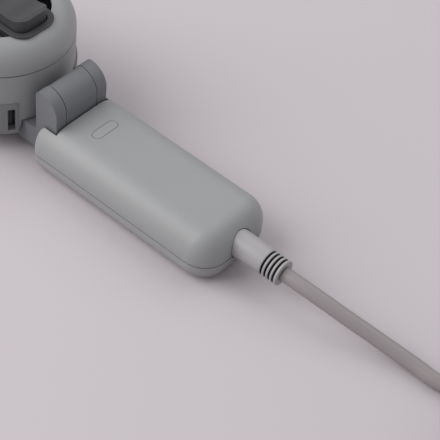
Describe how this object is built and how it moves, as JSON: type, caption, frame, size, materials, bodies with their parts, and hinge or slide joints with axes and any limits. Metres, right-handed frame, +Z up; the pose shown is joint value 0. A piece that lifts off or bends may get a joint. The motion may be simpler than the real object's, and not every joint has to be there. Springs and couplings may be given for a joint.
{
  "type": "motorized pipette controller",
  "caption": "Folding motorized pipette controller: a slim grip with a plug-in power lead, hinged to a rounded pump head with a nose cone and triggers.",
  "frame": {"origin": "centre of the object's box in plan, without its lead, on the surface it lies on", "axes": "+X along the grip, away from the hinge and towards the lead; +Z up, towards the key and the triggers"},
  "size_m": [0.437, 0.09, 0.056],
  "materials": {
    "shell": "fine satin moulded plastic, light grey",
    "hinge": "satin moulded plastic, slate grey",
    "trim": "satin moulded plastic, charcoal",
    "rubber": "matt black rubber",
    "steel": "plated steel",
    "brass": "turned brass",
    "board": "green solder mask",
    "cell": "shrink-wrapped battery cell",
    "silicone": "translucent silicone rubber",
    "cord": "satin PVC sheath, warm grey"
  },
  "bodies": {
    "grip": {"grip_upper_shell": "shell", "grip_lower_shell": "shell", "grip_foot_front": "rubber", "grip_foot_rear": "rubber", "grip_screw_1": "steel", "grip_screw_2": "steel", "control_board": "board", "key_switch": "steel", "battery_cell_left": "cell", "battery_cell_right": "cell", "battery_contact": "steel", "power_socket": "trim", "hinge_knuckle": "hinge", "friction_washer_left": "brass", "friction_washer_right": "brass", "plug_overmould": "cord", "plug_collar": "rubber", "plug_barrel": "steel", "cord_run": "cord", "cord_coil": "cord", "cord_tail": "cord", "adapter_case": "trim", "adapter_face": "trim", "adapter_pin_left": "steel", "adapter_pin_right": "steel"},
    "head": {"yoke": "hinge", "hinge_pin": "steel", "hinge_pin_cap": "hinge", "head_upper_shell": "shell", "head_lower_shell": "shell", "head_foot_left": "rubber", "head_foot_right": "rubber", "head_screw_1": "steel", "head_screw_2": "steel", "yoke_screw_1": "steel", "yoke_screw_2": "steel", "vent_band_left": "shell", "vent_foam_left": "rubber", "vent_band_right": "shell", "vent_foam_right": "rubber", "suction_spring": "steel", "blowout_spring": "steel", "trigger_bezel": "trim", "valve_block": "silicone", "motor": "steel", "pump_body": "trim", "suction_hose": "silicone", "blowout_hose": "silicone", "nose_collar": "hinge"},
    "key": {"mode_key": "shell"},
    "suction_trigger": {"suction_trigger": "trim", "suction_valve_stem": "brass"},
    "blowout_trigger": {"blowout_trigger": "trim", "blowout_valve_stem": "brass"},
    "speed_wheel": {"speed_wheel": "trim"},
    "nose": {"nose_cone": "shell", "pipette_socket": "silicone", "membrane_filter": "silicone"},
    "rotor": {"motor_rotor": "brass"}
  },
  "joints": [
    {"name": "head_fold", "type": "hinge", "parent": "grip", "child": "head", "pos_m": [0.027, 0, 0.0272], "axis": [0, 1, 0], "range_deg": [0, 100]},
    {"name": "key_press", "type": "slide", "parent": "grip", "child": "key", "axis": [0, 0, -1], "range_m": [0, 0.0006], "stiffness_N_per_m": 1500},
    {"name": "suction_press", "type": "slide", "parent": "head", "child": "suction_trigger", "axis": [0, 0, -1], "range_m": [0, 0.004], "stiffness_N_per_m": 500, "deforming": ["suction_spring"]},
    {"name": "blowout_press", "type": "slide", "parent": "head", "child": "blowout_trigger", "axis": [0, 0, -1], "range_m": [0, 0.004], "stiffness_N_per_m": 500, "deforming": ["blowout_spring"]},
    {"name": "speed_turn", "type": "hinge", "parent": "head", "child": "speed_wheel", "pos_m": [-0.0488, 0, 0.0386], "axis": [0, 1, 0], "range_deg": [-140, 140]},
    {"name": "nose_twist", "type": "hinge", "parent": "head", "child": "nose", "pos_m": [-0.0878, 0, 0.0255], "axis": [1, 0, 0], "range_deg": [0, 60]},
    {"name": "motor_spin", "type": "hinge", "parent": "head", "child": "rotor", "pos_m": [-0.0228, 0, 0.0154], "axis": [1, 0, 0], "continuous": true}
  ]
}
